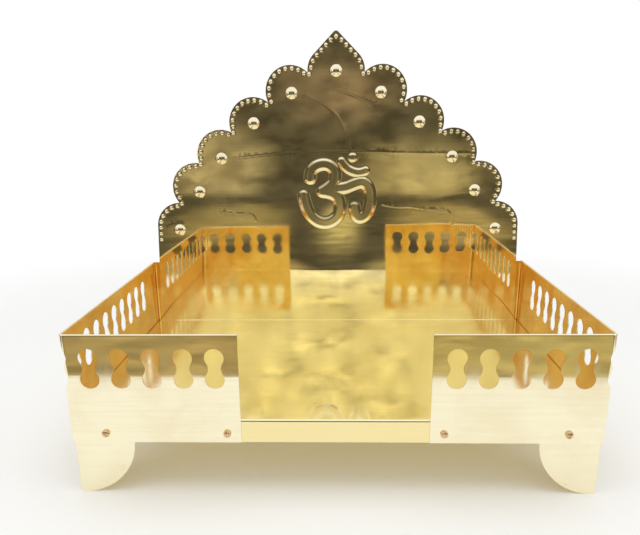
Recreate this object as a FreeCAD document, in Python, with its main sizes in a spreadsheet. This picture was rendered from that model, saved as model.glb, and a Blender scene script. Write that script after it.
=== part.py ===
import FreeCAD, Part
import math
import os
import Sketcher

# A table-top throne of thin brass sheet for a deity figure. A shallow tray is the seat,
# two pierced fences wrap its corners, a scalloped panel stands behind it, and four
# folded feet hang below its skirts. Every joint is a small screw and nut.
# Millimetres. +Z is up, the front faces -Y, and the origin is under the middle of the
# throne, on the surface that it stands on.

DRIVING_SIZES = [
    ("fence_span", 381.0, "across the outer faces of the two side fences"),
    ("throne_depth", 254.0, "front face of the fences to their rear flanges"),
    ("throne_height", 340.4, "surface to the tip of the back panel"),
    ("sheet_gauge", 0.8, "sheet of the tray, the fences and the back panel"),
    ("foot_height", 41.0, "surface to the bottom edge of the fences"),
    ("fence_height", 81.0, "bottom edge of a fence to the top of its hem"),
    ("seat_rise", 17.3, "bottom edge of a fence to the top of the seat"),
    ("front_panel", 123.5, "corner of a fence to the inner end of its front panel"),
    ("rear_flange", 34.0, "width of a fence's flange behind the back panel"),
    ("corner_bend", 4.0, "outside radius of a fence's front corner"),
    ("flange_bend", 2.4, "outside radius of a fence's rear corner"),
    ("hem_leg", 8.0, "straight part of the hem folded down inside a fence"),
    ("hem_gap", 0.7, "space inside the fold of the hem"),
    ("hem_relief", 1.2, "from the end of the hem to the rear bend"),
    ("piercing_radius", 6.9, "both rounds of a piercing"),
    ("piercing_spacing", 15.6, "between the rounds of a piercing"),
    ("piercing_waist", 9.1, "narrowest width of a piercing"),
    ("piercing_pitch", 22.0, "from one piercing to the next along the sheet"),
    ("piercing_drop", 17.2, "top of a fence to the upper round's centre"),
    ("piercing_margin", 16.6, "inner end of a front panel to the first piercing"),
    ("front_piercings", 5, "piercings on each front panel"),
    ("side_piercings", 9, "piercings on each side, after the one on the corner"),
    ("tray_bend", 1.6, "outside radius of the folds of the tray"),
    ("relief_play", 0.3, "from a cut-out corner of the tray to the fence's bend"),
    ("panel_play", 0.8, "from the hem of a fence to the side of the back panel"),
    ("peak_tip", 3.0, "rounding of the very tip of the back panel"),
    ("dome_base", 5.4, "radius of an embossed dome where it leaves the panel"),
    ("dome_rise", 2.8, "height of an embossed dome"),
    ("foot_gauge", 1.2, "sheet of the feet"),
    ("foot_bend", 2.4, "outside radius of the fold of a foot"),
    ("foot_wing", 44.0, "width of each wing of a foot where it leaves the fences"),
    ("foot_toe", 6.5, "flat at the bottom of each wing of a foot"),
    ("foot_tab", 14.0, "part of a foot that rises inside the skirt"),
    ("screw_radius", 1.5, "shank of a screw"),
    ("screw_length", 8.0, "shank of a screw under its head"),
    ("head_radius", 2.8, "screw head"),
    ("head_height", 2.6, "screw head from its seat to its top"),
    ("head_bevel", 0.9, "bevel round the top of a screw head"),
    ("nut_flats", 5.5, "across the flats of a nut"),
    ("nut_height", 2.4, "thickness of a nut"),
    ("nut_play", 0.05, "between a nut's bore and the shank"),
    ("hole_play", 0.25, "between a hole and the shank"),
    ("screw_rise", 7.0, "bottom edge of a fence to its screws"),
    ("corner_inset", 26.0, "corner of a fence to the screws of a foot"),
    ("end_inset", 10.0, "inner end of a front panel to its screw"),
    ("cut_overrun", 5.0, "how far a cut starts outside the sheet"),
]

# Corners up the right side of the back panel, from its shoulder to the slope of its peak: the
# share of half the panel's width, the share of the height from the seat to the tip, and how
# far the edge that leaves the corner bulges, as a share of its own length.
EDGE_SHARES = [
    (0.975, 0.3545, 0.208), (0.8475, 0.439, 0.352), (0.727, 0.576, 0.341), (0.548, 0.679, 0.386),
    (0.3505, 0.776, 0.419), (0.145, 0.8705, 0.114), (0.1145, 0.9285, 0)]
# Embossed domes down one side, in the first two shares, and the one on the middle line.
DOME_SHARES = [(0.229, 0.806), (0.430, 0.709), (0.607, 0.592), (0.734, 0.477), (0.855, 0.342)]
PEAK_DOME_SHARE = 0.876
# Points along each edge of the corner piercing where it is rolled round the bend.
ROLL_POINTS = 17

doc = FreeCAD.newDocument("Throne")
sheet = doc.addObject("Spreadsheet::Sheet", "sizes")
for row, (alias, amount, note) in enumerate(DRIVING_SIZES, start=1):
    sheet.set(f"A{row}", alias)
    sheet.set(f"B{row}", str(amount))
    sheet.set(f"C{row}", note)
    sheet.setAlias(f"B{row}", alias)
doc.recompute()


class Size:
    # A length that holds its value now and the expression that ties it to the sheet.
    def __init__(self, value, text):
        self.value = value
        self.text = text

    def __add__(self, other):
        return Size(self.value + other.value, f"({self.text} + {other.text})")

    def __sub__(self, other):
        return Size(self.value - other.value, f"({self.text} - {other.text})")

    def __mul__(self, other):
        if isinstance(other, Size):
            return Size(self.value * other.value, f"({self.text} * {other.text})")
        return Size(self.value * other, f"({self.text} * {other})")

    def __truediv__(self, other):
        if isinstance(other, Size):
            return Size(self.value / other.value, f"({self.text} / {other.text})")
        return Size(self.value / other, f"({self.text} / {other})")

    def __neg__(self):
        return Size(-self.value, f"(-{self.text})")


def size(alias):
    return Size(float(sheet.get(alias)), f"sizes.{alias}")


def root(amount):
    return Size(math.sqrt(amount.value), f"sqrt({amount.text})")


ZERO = Size(0.0, "0")
GAUGE = size("sheet_gauge")
OVERRUN = size("cut_overrun")
HALF_SPAN = size("fence_span") / 2
HALF_DEPTH = size("throne_depth") / 2
FENCE_BOTTOM = size("foot_height")
FENCE_TOP = FENCE_BOTTOM + size("fence_height")
SEAT_TOP = FENCE_BOTTOM + size("seat_rise")
SCREW_LEVEL = FENCE_BOTTOM + size("screw_rise")
HOLE_RADIUS = size("screw_radius") + size("hole_play")
CORNER_SCREW_X = HALF_SPAN - size("corner_inset")
END_SCREW_X = HALF_SPAN - size("front_panel") + size("end_inset")
PANEL_REAR_Y = HALF_DEPTH - GAUGE
PANEL_FRONT_Y = PANEL_REAR_Y - GAUGE
PANEL_HALF_WIDTH = HALF_SPAN - GAUGE * 2 - size("hem_gap") - size("panel_play")
PANEL_RISE = size("throne_height") - SEAT_TOP
# The tray ends against the back panel, so its middle lies half a gauge to the front.
TRAY_MIDDLE_Y = -GAUGE / 2
FRONT_SIDE_SCREW_Y = size("corner_inset") - HALF_DEPTH
SIDE_SCREW_PLACES = [FRONT_SIDE_SCREW_Y, TRAY_MIDDLE_Y * 2 - FRONT_SIDE_SCREW_Y]


def bind(target, **amounts):
    # Ties properties to the sheet. A double underscore in a name stands for a dot.
    for name, amount in amounts.items():
        target.setExpression(name.replace("__", "."), amount.text)


def new_body(label):
    body = doc.addObject("PartDesign::Body", label)
    body.Label = label
    return body


def new_sketch(body, name, role, offset=ZERO):
    # A sketch on one of the body's own origin planes, moved along the plane's normal.
    sketch = body.newObject("Sketcher::SketchObject", name)
    plane = [item for item in body.Origin.OriginFeatures if item.Role == role][0]
    sketch.AttachmentSupport = (plane, [""])
    sketch.MapMode = "FlatFace"
    bind(sketch, AttachmentOffset__Base__z=offset)
    return sketch


def place_of(point):
    return FreeCAD.Vector(*[getattr(amount, "value", amount) for amount in point], 0)


def pin_point(sketch, geometry, position, point):
    # Pins each coordinate that is a Size. A plain number is only where the point starts.
    for kind, amount in (("DistanceX", point[0]), ("DistanceY", point[1])):
        if isinstance(amount, Size):
            index = sketch.addConstraint(
                Sketcher.Constraint(kind, -1, 1, geometry, position, amount.value))
            sketch.setExpression(f"Constraints[{index}]", amount.text)


def pin_radius(sketch, geometry, radius):
    index = sketch.addConstraint(Sketcher.Constraint("Radius", geometry, radius.value))
    sketch.setExpression(f"Constraints[{index}]", radius.text)


def draw_outline(sketch, corners, arcs=None, closed=True):
    # Straight edges between the corners. arcs gives, for the edge that leaves a corner, the
    # centre of an arc and whether it turns left or right.
    arcs = arcs or {}
    ends = []
    edge_count = len(corners) if closed else len(corners) - 1
    for index in range(edge_count):
        start = place_of(corners[index])
        end = place_of(corners[(index + 1) % len(corners)])
        if index not in arcs:
            ends.append((sketch.addGeometry(Part.LineSegment(start, end)), 1, 2))
            continue
        centre_point, turn = arcs[index]
        centre = place_of(centre_point)
        if turn == "right":
            start, end = end, start
        angles = [math.atan2(point.y - centre.y, point.x - centre.x) for point in (start, end)]
        if angles[1] <= angles[0]:
            angles[1] += 2 * math.pi
        circle = Part.Circle(centre, FreeCAD.Vector(0, 0, 1), (start - centre).Length)
        geometry = sketch.addGeometry(Part.ArcOfCircle(circle, angles[0], angles[1]))
        ends.append((geometry, 2, 1) if turn == "right" else (geometry, 1, 2))
        # Both ends are pinned, so one coordinate of the centre settles the arc.
        chord = end - start
        upright = abs(chord.y) > abs(chord.x)
        centre_point = (centre_point[0], centre.y) if upright else (centre.x, centre_point[1])
        pin_point(sketch, geometry, 3, centre_point)
    for index, (geometry, start_position, end_position) in enumerate(ends):
        pin_point(sketch, geometry, start_position, corners[index])
        if closed or index + 1 < edge_count:
            following = ends[(index + 1) % edge_count]
            sketch.addConstraint(Sketcher.Constraint(
                "Coincident", geometry, end_position, following[0], following[1]))
        else:
            pin_point(sketch, geometry, end_position, corners[-1])


def draw_circles(sketch, centres, radius):
    for point in centres:
        circle = Part.Circle(place_of(point), FreeCAD.Vector(0, 0, 1), radius.value)
        geometry = sketch.addGeometry(circle)
        pin_point(sketch, geometry, 3, point)
        pin_radius(sketch, geometry, radius)


def rectangle(low_x, low_y, high_x, high_y):
    return [(low_x, low_y), (high_x, low_y), (high_x, high_y), (low_x, high_y)]


def pad(body, sketch, length, name):
    feature = body.newObject("PartDesign::Pad", name)
    feature.Profile = sketch
    bind(feature, Length=length)
    return feature


def pocket(body, sketch, name, length=None, flip=False):
    # Cuts away from the sketch's normal, or along it where flip is set.
    feature = body.newObject("PartDesign::Pocket", name)
    feature.Profile = sketch
    feature.Reversed = flip
    if length is None:
        feature.Type = "ThroughAll"
    else:
        bind(feature, Length=length)
    return feature


def fillet(body, base, radius, name, chosen):
    doc.recompute()
    names = [f"Edge{number}" for number, edge in enumerate(base.Shape.Edges, start=1) if chosen(edge)]
    feature = body.newObject("PartDesign::Fillet", name)
    feature.Base = (base, names)
    bind(feature, Radius=radius)
    return feature


def upright_edge_at(x, y):
    # Chooses the vertical edges over one point of the plan.
    def chosen(edge):
        box = edge.BoundBox
        distance = Part.Vertex(x.value, y.value, box.ZMin).distToShape(edge)[0]
        return max(distance, box.XLength, box.YLength) < Part.Precision.confusion()
    return chosen


def level_edge_at(z):
    # Chooses the edges that lie at one level.
    def chosen(edge):
        box = edge.BoundBox
        return max(box.ZLength, abs(box.ZMin - z.value)) < Part.Precision.confusion()
    return chosen


def pattern(body, original, sketch, axis, flip, offset, copies, name):
    feature = body.newObject("PartDesign::LinearPattern", name)
    feature.Originals = [original]
    feature.Direction = (sketch, [axis])
    feature.Reversed = flip
    feature.Mode = "Spacing"
    bind(feature, Offset=offset, Occurrences=size(copies))
    body.Tip = feature
    return feature


# Seat tray: one sheet with a skirt folded down on each side. Its corners are cut away,
# so that the skirts clear the rounded corners of the fences.
def make_tray():
    body = new_body("seat_tray")
    half_width = HALF_SPAN - GAUGE
    front = GAUGE - HALF_DEPTH
    relief = size("corner_bend") - GAUGE + size("relief_play")
    plan = new_sketch(body, "tray_plan", "XY_Plane", FENCE_BOTTOM)
    draw_outline(plan, rectangle(-half_width, front, half_width, PANEL_FRONT_Y))
    block = pad(body, plan, size("seat_rise"), "tray_block")
    folds = fillet(body, block, size("tray_bend"), "tray_folds", level_edge_at(SEAT_TOP))
    doc.recompute()
    underside = [f"Face{number}" for number, face in enumerate(folds.Shape.Faces, start=1)
                 if face.BoundBox.ZMax < FENCE_BOTTOM.value + GAUGE.value]
    shell = body.newObject("PartDesign::Thickness", "tray_shell")
    shell.Base = (folds, underside)
    shell.Reversed = True
    bind(shell, Value=GAUGE)
    corners = new_sketch(body, "tray_corners", "XY_Plane", FENCE_BOTTOM - OVERRUN)
    for side_low, side_high in ((-half_width - OVERRUN, relief - half_width),
                                (half_width - relief, half_width + OVERRUN)):
        for low, high in ((front - OVERRUN, front + relief),
                          (PANEL_FRONT_Y - relief, PANEL_FRONT_Y + OVERRUN)):
            draw_outline(corners, rectangle(side_low, low, side_high, high))
    pocket(body, corners, "tray_corner_reliefs", flip=True)
    holes = new_sketch(body, "tray_front_holes", "XZ_Plane", HALF_DEPTH + OVERRUN)
    places = [CORNER_SCREW_X, END_SCREW_X, -END_SCREW_X, -CORNER_SCREW_X]
    draw_circles(holes, [(x, SCREW_LEVEL) for x in places], HOLE_RADIUS)
    pocket(body, holes, "tray_front_and_rear_bores")
    side_holes = new_sketch(body, "tray_side_holes", "YZ_Plane", HALF_SPAN + OVERRUN)
    draw_circles(side_holes, [(y, SCREW_LEVEL) for y in SIDE_SCREW_PLACES], HOLE_RADIUS)
    pocket(body, side_holes, "tray_side_bores")
    return body


# One piercing: two rounds joined by a waist whose hollow sides run into them smoothly.
def piercing_outline(centre_u, centre_v):
    radius = size("piercing_radius")
    half_spacing = size("piercing_spacing") / 2
    half_waist = size("piercing_waist") / 2
    hollow = ((half_waist * half_waist + half_spacing * half_spacing - radius * radius)
              / ((radius - half_waist) * 2))
    reach = half_waist + hollow
    touch_u = radius * reach / (radius + hollow)
    touch_v = half_spacing * hollow / (radius + hollow)
    corners = [(centre_u + touch_u, centre_v + touch_v), (centre_u - touch_u, centre_v + touch_v),
               (centre_u - touch_u, centre_v - touch_v), (centre_u + touch_u, centre_v - touch_v)]
    arcs = {0: ((centre_u, centre_v + half_spacing), "left"),
            1: ((centre_u - reach, centre_v), "right"),
            2: ((centre_u, centre_v - half_spacing), "left"),
            3: ((centre_u + reach, centre_v), "right")}
    return corners, arcs


PIERCING_LEVEL = FENCE_TOP - size("piercing_drop") - size("piercing_spacing") / 2
# Lengths along the middle of the sheet, from the inner end of the front panel.
BEND_START = size("front_panel") - size("corner_bend")
BEND_LENGTH = (size("corner_bend") - GAUGE / 2) * Size(math.pi / 2, "(pi / 2)")
CORNER_PIERCING = size("piercing_margin") + size("piercing_pitch") * size("front_piercings")


# Rolls a point of the flat blank round the corner. along is the length from the inner end
# of the front panel, and out is the distance outwards from the middle of the sheet.
def rolled(along, level, out):
    bend = size("corner_bend").value
    middle = bend - GAUGE.value / 2
    centre_x = bend - HALF_SPAN.value
    centre_y = bend - HALF_DEPTH.value
    past = along - BEND_START.value
    if past <= 0:
        return FreeCAD.Vector(centre_x - past, centre_y - middle - out, level)
    if past >= BEND_LENGTH.value:
        return FreeCAD.Vector(centre_x - middle - out, centre_y + past - BEND_LENGTH.value, level)
    angle = past / middle
    radius = middle + out
    return FreeCAD.Vector(centre_x - radius * math.sin(angle), centre_y - radius * math.cos(angle), level)


# The wall of the corner piercing: its outline drawn on the flat blank and rolled round the
# bend, at each side of the sheet, with a ruled face between the two.
def rolled_piercing():
    corners, arcs = piercing_outline(CORNER_PIERCING, PIERCING_LEVEL)
    faces = []
    for index, (centre, turn) in arcs.items():
        centre_u = centre[0].value
        centre_v = centre[1].value
        ends = (corners[index], corners[(index + 1) % len(corners)])
        angles = [math.atan2(v.value - centre_v, u.value - centre_u) for u, v in ends]
        radius = math.hypot(ends[0][0].value - centre_u, ends[0][1].value - centre_v)
        sweep = (angles[1] - angles[0]) % (2 * math.pi)
        if turn == "right":
            sweep -= 2 * math.pi
        rims = []
        for out in (GAUGE.value * 2, -GAUGE.value * 2):
            points = []
            for step in range(ROLL_POINTS):
                angle = angles[0] + sweep * step / (ROLL_POINTS - 1)
                points.append(rolled(centre_u + radius * math.cos(angle),
                                     centre_v + radius * math.sin(angle), out))
            curve = Part.BSplineCurve()
            curve.interpolate(points)
            rims.append(curve.toShape())
        faces.append(Part.makeRuledSurface(rims[0], rims[1]))
    return Part.Shell(faces)


# Left fence: front panel, rounded corner, side, and a flange that returns behind the back
# panel. The top edge is folded over inwards as a hem.
def make_left_fence():
    body = new_body("left_fence_sheet")
    outer_x = -HALF_SPAN
    inner_x = outer_x + GAUGE
    end_x = outer_x + size("front_panel")
    flange_x = outer_x + size("rear_flange")
    front = -HALF_DEPTH
    fold = GAUGE + size("hem_gap") / 2
    fold_level = FENCE_TOP - fold
    plan = new_sketch(body, "fence_plan", "XY_Plane", FENCE_BOTTOM)
    draw_outline(plan, [
        (end_x, front), (outer_x, front), (outer_x, HALF_DEPTH), (flange_x, HALF_DEPTH),
        (flange_x, PANEL_REAR_Y), (inner_x, PANEL_REAR_Y), (inner_x, front + GAUGE),
        (end_x, front + GAUGE)])
    feature = pad(body, plan, size("fence_height") - fold, "fence_wall")
    for name, radius, x, y in (
            ("corner_outside", size("corner_bend"), outer_x, front),
            ("corner_inside", size("corner_bend") - GAUGE, inner_x, front + GAUGE),
            ("flange_outside", size("flange_bend"), outer_x, HALF_DEPTH),
            ("flange_inside", size("flange_bend") - GAUGE, inner_x, PANEL_REAR_Y)):
        feature = fillet(body, feature, radius, name, upright_edge_at(x, y))

    bend_x = outer_x + size("corner_bend")
    bend_y = front + size("corner_bend")
    hem_end = HALF_DEPTH - size("flange_bend") - size("hem_relief")
    line = new_sketch(body, "hem_line", "XY_Plane", fold_level)
    draw_outline(line, [(end_x, front), (bend_x, front), (outer_x, bend_y), (outer_x, hem_end)],
                 {1: ((bend_x, bend_y), "right")}, closed=False)
    section = new_sketch(body, "hem_section", "YZ_Plane", end_x)
    draw_outline(section, [
        (front, fold_level), (front + fold * 2, fold_level),
        (front + fold * 2, fold_level - size("hem_leg")),
        (front + fold * 2 - GAUGE, fold_level - size("hem_leg")),
        (front + fold * 2 - GAUGE, fold_level), (front + GAUGE, fold_level)],
        {0: ((front + fold, fold_level), "right"), 4: ((front + fold, fold_level), "left")})
    hem = body.newObject("PartDesign::AdditivePipe", "fence_hem")
    hem.Profile = section
    hem.Spine = (line, [])

    front_cut = new_sketch(body, "front_piercing", "XZ_Plane", HALF_DEPTH + OVERRUN)
    corners, arcs = piercing_outline(end_x - size("piercing_margin"), PIERCING_LEVEL)
    draw_outline(front_cut, corners, arcs)
    first = pocket(body, front_cut, "first_front_piercing", OVERRUN + GAUGE + size("hem_gap"))
    pattern(body, first, front_cut, "H_Axis", True, size("piercing_pitch"), "front_piercings",
            "front_piercing_row")
    side_cut = new_sketch(body, "side_piercing", "YZ_Plane", outer_x - OVERRUN)
    first_y = (bend_y + CORNER_PIERCING + size("piercing_pitch") - BEND_START - BEND_LENGTH)
    corners, arcs = piercing_outline(first_y, PIERCING_LEVEL)
    draw_outline(side_cut, corners, arcs)
    first = pocket(body, side_cut, "first_side_piercing", OVERRUN + GAUGE + size("hem_gap"), flip=True)
    pattern(body, first, side_cut, "H_Axis", False, size("piercing_pitch"), "side_piercings",
            "side_piercing_row")

    holes = new_sketch(body, "fence_front_holes", "XZ_Plane", HALF_DEPTH + OVERRUN)
    draw_circles(holes, [(-CORNER_SCREW_X, SCREW_LEVEL), (-END_SCREW_X, SCREW_LEVEL)], HOLE_RADIUS)
    pocket(body, holes, "fence_front_and_flange_bores")
    side_holes = new_sketch(body, "fence_side_holes", "YZ_Plane", outer_x - OVERRUN)
    draw_circles(side_holes, [(y, SCREW_LEVEL) for y in SIDE_SCREW_PLACES], HOLE_RADIUS)
    pocket(body, side_holes, "fence_side_bores", flip=True)
    doc.recompute()

    # The corner piercing divides the bent sheet into the fence and the slug that is cut out.
    pieces, _ = body.Shape.generalFuse([rolled_piercing()])
    fence = doc.addObject("Part::Feature", "left_fence")
    fence.Label = "left_fence"
    fence.Shape = max(pieces.Solids, key=lambda solid: solid.Volume)
    return fence


# Back panel: nearly upright sides, five round lobes a side and a pointed lobe at the top.
def bulged_edge(start, end, bulge):
    # An arc that stands out to the right of the straight line between two corners.
    centre_share = 1 / (8 * bulge) - bulge / 2
    return (((start[0] + end[0]) / 2 - (end[1] - start[1]) * centre_share,
             (start[1] + end[1]) / 2 + (end[0] - start[0]) * centre_share), "left")


def panel_outline():
    # Up the right side, round the tip, and down the left side, which mirrors the right one.
    tip = size("peak_tip")
    tip_level = size("throne_height") - tip
    half_chord = tip / root(Size(2, "2"))
    corners = [(PANEL_HALF_WIDTH, FENCE_BOTTOM)]
    for across, up, _ in EDGE_SHARES:
        corners.append((PANEL_HALF_WIDTH * across, SEAT_TOP + PANEL_RISE * up))
    corners.append((half_chord, tip_level + half_chord))
    last = len(corners) - 1
    arcs = {last: ((ZERO, tip_level), "left")}
    for index, (_, _, bulge) in enumerate(EDGE_SHARES, start=1):
        if bulge:
            arcs[index] = bulged_edge(corners[index], corners[index + 1], bulge)
            (centre_x, centre_z), turn = arcs[index]
            arcs[2 * last - index] = ((-centre_x, centre_z), turn)
    corners += [(-x, z) for x, z in reversed(corners)]
    return corners, arcs


def make_back_panel():
    body = new_body("back_panel_sheet")
    outline = new_sketch(body, "panel_outline", "XZ_Plane", -PANEL_REAR_Y)
    draw_outline(outline, *panel_outline())
    pad(body, outline, GAUGE, "panel_sheet")
    holes = new_sketch(body, "panel_holes", "XZ_Plane", OVERRUN - PANEL_FRONT_Y)
    places = [CORNER_SCREW_X, END_SCREW_X, -END_SCREW_X, -CORNER_SCREW_X]
    draw_circles(holes, [(x, SCREW_LEVEL) for x in places], HOLE_RADIUS)
    pocket(body, holes, "panel_bores")

    # Domes pushed out of the sheet from behind: a ball's cap in front, hollow at the back.
    base = size("dome_base")
    dome_rise = size("dome_rise")
    outside = (base * base + dome_rise * dome_rise) / (dome_rise * 2)
    centre_y = PANEL_FRONT_Y - dome_rise + outside
    places = [(ZERO, SEAT_TOP + PANEL_RISE * PEAK_DOME_SHARE)]
    for across, up in DOME_SHARES:
        for side in (1, -1):
            places.append((PANEL_HALF_WIDTH * (across * side), SEAT_TOP + PANEL_RISE * up))
    balls = {"outside": [], "hollow": []}
    for number, (x, z) in enumerate(places, start=1):
        for kind, radius in (("outside", outside), ("hollow", outside - GAUGE)):
            ball = doc.addObject("Part::Sphere", f"dome_{kind}_{number}")
            bind(ball, Radius=radius, Placement__Base__x=x, Placement__Base__y=centre_y,
                 Placement__Base__z=z)
            balls[kind].append(ball)
    front = doc.addObject("Part::Box", "dome_front")
    bind(front, Length=PANEL_HALF_WIDTH * 2, Width=dome_rise + GAUGE / 2 + OVERRUN,
         Height=size("throne_height"), Placement__Base__x=-PANEL_HALF_WIDTH,
         Placement__Base__y=PANEL_FRONT_Y - dome_rise - OVERRUN)
    together = doc.addObject("Part::MultiFuse", "dome_balls")
    together.Shapes = balls["outside"]
    caps = doc.addObject("Part::Common", "dome_caps")
    caps.Base = together
    caps.Tool = front
    raised = doc.addObject("Part::MultiFuse", "panel_with_caps")
    raised.Shapes = [body, caps]
    hollows = doc.addObject("Part::MultiFuse", "dome_hollows")
    hollows.Shapes = balls["hollow"]
    panel = doc.addObject("Part::Cut", "back_panel")
    panel.Label = "back_panel"
    panel.Base = raised
    panel.Tool = hollows
    return panel


# Foot: a strip folded to an L, each wing cut to a quarter round below the fences, with a
# tab above that is screwed inside the skirts.
def make_front_left_foot():
    body = new_body("front_left_foot")
    gauge = size("foot_gauge")
    outer_x = GAUGE * 2 - HALF_SPAN
    outer_y = GAUGE * 2 - HALF_DEPTH
    toe = size("foot_toe")
    wing = size("foot_wing")
    # The round leaves the fences straight down and ends at the toe.
    round_width = wing - toe
    round_radius = ((round_width * round_width + size("foot_height") * size("foot_height"))
                    / (round_width * 2))
    plan = new_sketch(body, "foot_plan", "XY_Plane")
    draw_outline(plan, [
        (outer_x, outer_y), (outer_x + wing, outer_y), (outer_x + wing, outer_y + gauge),
        (outer_x + gauge, outer_y + gauge), (outer_x + gauge, outer_y + wing),
        (outer_x, outer_y + wing)])
    feature = pad(body, plan, size("foot_height") + size("foot_tab"), "foot_strip")
    feature = fillet(body, feature, size("foot_bend"), "foot_fold_outside",
                     upright_edge_at(outer_x, outer_y))
    fillet(body, feature, size("foot_bend") - gauge, "foot_fold_inside",
           upright_edge_at(outer_x + gauge, outer_y + gauge))
    for name, role, offset, corner, flip in (
            ("front", "XZ_Plane", OVERRUN - outer_y, outer_x, False),
            ("side", "YZ_Plane", outer_x - OVERRUN, outer_y, True)):
        sketch = new_sketch(body, f"foot_{name}_round", role, offset)
        draw_outline(sketch, [
            (corner + toe, ZERO), (corner + wing, FENCE_BOTTOM),
            (corner + wing + OVERRUN, FENCE_BOTTOM), (corner + wing + OVERRUN, -OVERRUN),
            (corner + toe, -OVERRUN)], {0: ((corner + wing - round_radius, FENCE_BOTTOM), "left")})
        pocket(body, sketch, f"foot_{name}_curve", OVERRUN + gauge * 2, flip)
    for name, role, offset, place, flip in (
            ("front", "XZ_Plane", OVERRUN - outer_y, -CORNER_SCREW_X, False),
            ("side", "YZ_Plane", outer_x - OVERRUN, FRONT_SIDE_SCREW_Y, True)):
        sketch = new_sketch(body, f"foot_{name}_hole", role, offset)
        draw_circles(sketch, [(place, SCREW_LEVEL)], HOLE_RADIUS)
        pocket(body, sketch, f"foot_{name}_bore", OVERRUN + gauge * 2, flip)
    return body


def mirrored(source, label, normal, middle_y=ZERO):
    # Mirrored across the middle of the throne, or of the tray where its y is given.
    copy = doc.addObject("Part::Mirroring", label)
    copy.Label = label
    copy.Source = source
    copy.Normal = normal
    bind(copy, Base__y=middle_y)
    return copy


# Master screw: its head sits on the plane z = 0 and its shank hangs below.
def make_screw():
    body = new_body("one_screw")
    shank = size("screw_radius")
    head = size("head_radius")
    top = size("head_height")
    bevel = size("head_bevel")
    sketch = new_sketch(body, "screw_section", "XZ_Plane")
    draw_outline(sketch, [
        (ZERO, -size("screw_length")), (shank, -size("screw_length")), (shank, ZERO),
        (head, ZERO), (head, top - bevel), (head - bevel, top), (ZERO, top)])
    turned = body.newObject("PartDesign::Revolution", "screw_turned")
    turned.Profile = sketch
    turned.ReferenceAxis = (sketch, ["V_Axis"])
    return body


# Master nut: its seat is the plane z = 0 and it hangs below, round the same axis.
def make_nut():
    body = new_body("one_nut")
    half_flats = size("nut_flats") / 2
    corner = half_flats * 2 / root(Size(3, "3"))
    sketch = new_sketch(body, "nut_plan", "XY_Plane", -size("nut_height"))
    draw_outline(sketch, [
        (corner, ZERO), (corner / 2, half_flats), (-corner / 2, half_flats),
        (-corner, ZERO), (-corner / 2, -half_flats), (corner / 2, -half_flats)])
    pad(body, sketch, size("nut_height"), "nut_hexagon")
    bore = new_sketch(body, "nut_hole", "XY_Plane", OVERRUN)
    draw_circles(bore, [(ZERO, ZERO)], size("screw_radius") + size("nut_play"))
    pocket(body, bore, "nut_bore")
    return body


def make_fasteners(label, master, seats):
    # Copies of one master. A seat is a point and the direction that a screw's head faces.
    group = doc.addObject("Part::Feature", label)
    group.Label = label
    copies = []
    for point, outwards in seats:
        turn = FreeCAD.Rotation(FreeCAD.Vector(0, 0, 1), outwards)
        copies.append(master.Shape.transformed(FreeCAD.Placement(point, turn).toMatrix()))
    group.Shape = Part.makeCompound(copies)
    return group


def place_fasteners(screw, nut):
    level = SCREW_LEVEL.value
    gauge = GAUGE.value
    foot = size("foot_gauge").value
    corner_x = CORNER_SCREW_X.value
    end_x = END_SCREW_X.value
    # Each row: where the screw sits on the plan, which way its head faces, and how thick
    # the sheets are between its head and its nut.
    front = [(FreeCAD.Vector(side * x, -HALF_DEPTH.value, level), FreeCAD.Vector(0, -1, 0), stack)
             for side in (-1, 1) for x, stack in ((corner_x, 2 * gauge + foot), (end_x, 2 * gauge))]
    rear = [(FreeCAD.Vector(side * x, y, level), FreeCAD.Vector(0, 1, 0), stack)
            for side in (-1, 1)
            for x, y, stack in ((corner_x, HALF_DEPTH.value, 3 * gauge + foot),
                                (end_x, PANEL_REAR_Y.value, 2 * gauge))]
    sides = {name: [(FreeCAD.Vector(side * HALF_SPAN.value, y.value, level),
                     FreeCAD.Vector(side, 0, 0), 2 * gauge + foot) for y in SIDE_SCREW_PLACES]
             for name, side in (("left", -1), ("right", 1))}
    nodes = []
    for name, seats in (("front", front), ("rear", rear), ("left_side", sides["left"]),
                        ("right_side", sides["right"])):
        nodes.append(make_fasteners(f"{name}_screws", screw, [seat[:2] for seat in seats]))
        nodes.append(make_fasteners(f"{name}_nuts", nut, [
            (point - outwards * stack, outwards) for point, outwards, stack in seats]))
    return nodes


def check_document():
    for item in doc.Objects:
        faults = [state for state in item.State if state in ("Invalid", "Error")]
        if faults:
            raise RuntimeError(f"{item.Name} is {faults}")
        if item.TypeId == "PartDesign::Pocket" and item.BaseFeature is not None:
            if item.Shape.Volume >= item.BaseFeature.Shape.Volume:
                raise RuntimeError(f"{item.Name} cuts nothing")


def export_nodes(nodes):
    os.makedirs("parts", exist_ok=True)
    for node in nodes:
        shape = node.Shape
        if shape.isNull() or not shape.isValid() or not shape.Solids:
            raise RuntimeError(f"{node.Label} has no valid solid")
        print(f"{node.Label}: {len(shape.Solids)} solids, {shape.Volume:.1f} cubic mm")
    for node in nodes:
        node.Shape.exportStep(f"parts/{node.Label}.step")


across = FreeCAD.Vector(1, 0, 0)
along = FreeCAD.Vector(0, 1, 0)
left_fence = make_left_fence()
front_left_foot = make_front_left_foot()
rear_left_foot = mirrored(front_left_foot, "rear_left_foot", along, TRAY_MIDDLE_Y)
pieces = [
    make_tray(), left_fence, mirrored(left_fence, "right_fence", across), make_back_panel(),
    front_left_foot, mirrored(front_left_foot, "front_right_foot", across),
    rear_left_foot, mirrored(rear_left_foot, "rear_right_foot", across)]
master_screw = make_screw()
master_nut = make_nut()
doc.recompute()
pieces += place_fasteners(master_screw, master_nut)
doc.recompute()
check_document()
export_nodes(pieces)
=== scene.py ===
import math
import bpy
from mathutils import Matrix, Vector, kdtree
from mathutils.geometry import delaunay_2d_cdt


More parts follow.
